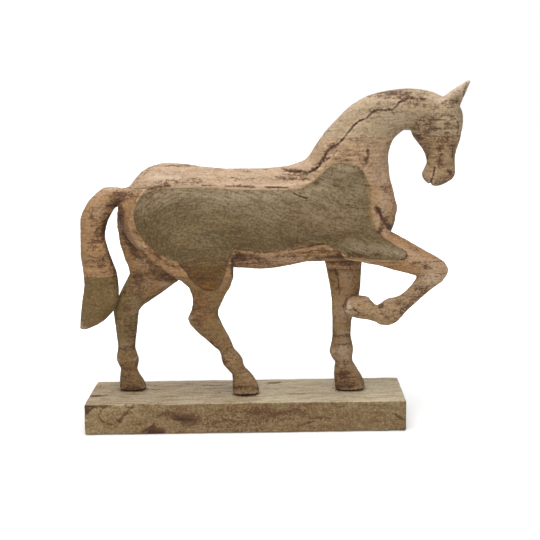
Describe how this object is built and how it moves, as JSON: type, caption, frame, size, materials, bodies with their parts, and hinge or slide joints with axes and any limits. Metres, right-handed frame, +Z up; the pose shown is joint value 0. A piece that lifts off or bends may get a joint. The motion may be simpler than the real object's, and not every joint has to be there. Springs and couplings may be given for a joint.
{
  "type": "wooden horse sculpture",
  "caption": "Carved wooden horse stepping with one foreleg lifted, glued up from boards, standing on a rectangular wooden plinth.",
  "frame": {"origin": "centre of the plinth's flat underside, on the surface it stands on", "axes": "+X towards the horse's nose, +Y towards its left flank, which the picture's viewer doesn't see, +Z up"},
  "size_m": [0.4354, 0.095, 0.3823],
  "materials": {
    "washed_wood": "whitewashed and sanded back, dark stain in the recesses, matt",
    "olive_wood": "grey-olive wood, waxed, satin to matt",
    "amber_wood": "amber brown wood, waxed, satin to matt",
    "plinth_wood": "light grey-olive wood with brown figure, matt",
    "screw_steel": "plain steel"
  },
  "bodies": {
    "root": {"crest_board": "washed_wood", "muzzle_block": "washed_wood", "neck_board": "washed_wood", "trunk_board": "washed_wood", "tail_board": "olive_wood", "right_hock_board": "olive_wood", "left_hock_board": "olive_wood", "left_shin_board": "olive_wood", "right_hind_hoof": "washed_wood", "left_hind_hoof": "washed_wood", "left_fore_hoof": "washed_wood", "right_fore_shank": "washed_wood", "right_side_board": "olive_wood", "left_side_board": "olive_wood", "right_thigh_board": "amber_wood", "left_thigh_board": "amber_wood", "plinth": "plinth_wood", "right_hind_screw": "screw_steel", "left_hind_screw": "screw_steel", "left_fore_screw": "screw_steel"}
  },
  "joints": []
}
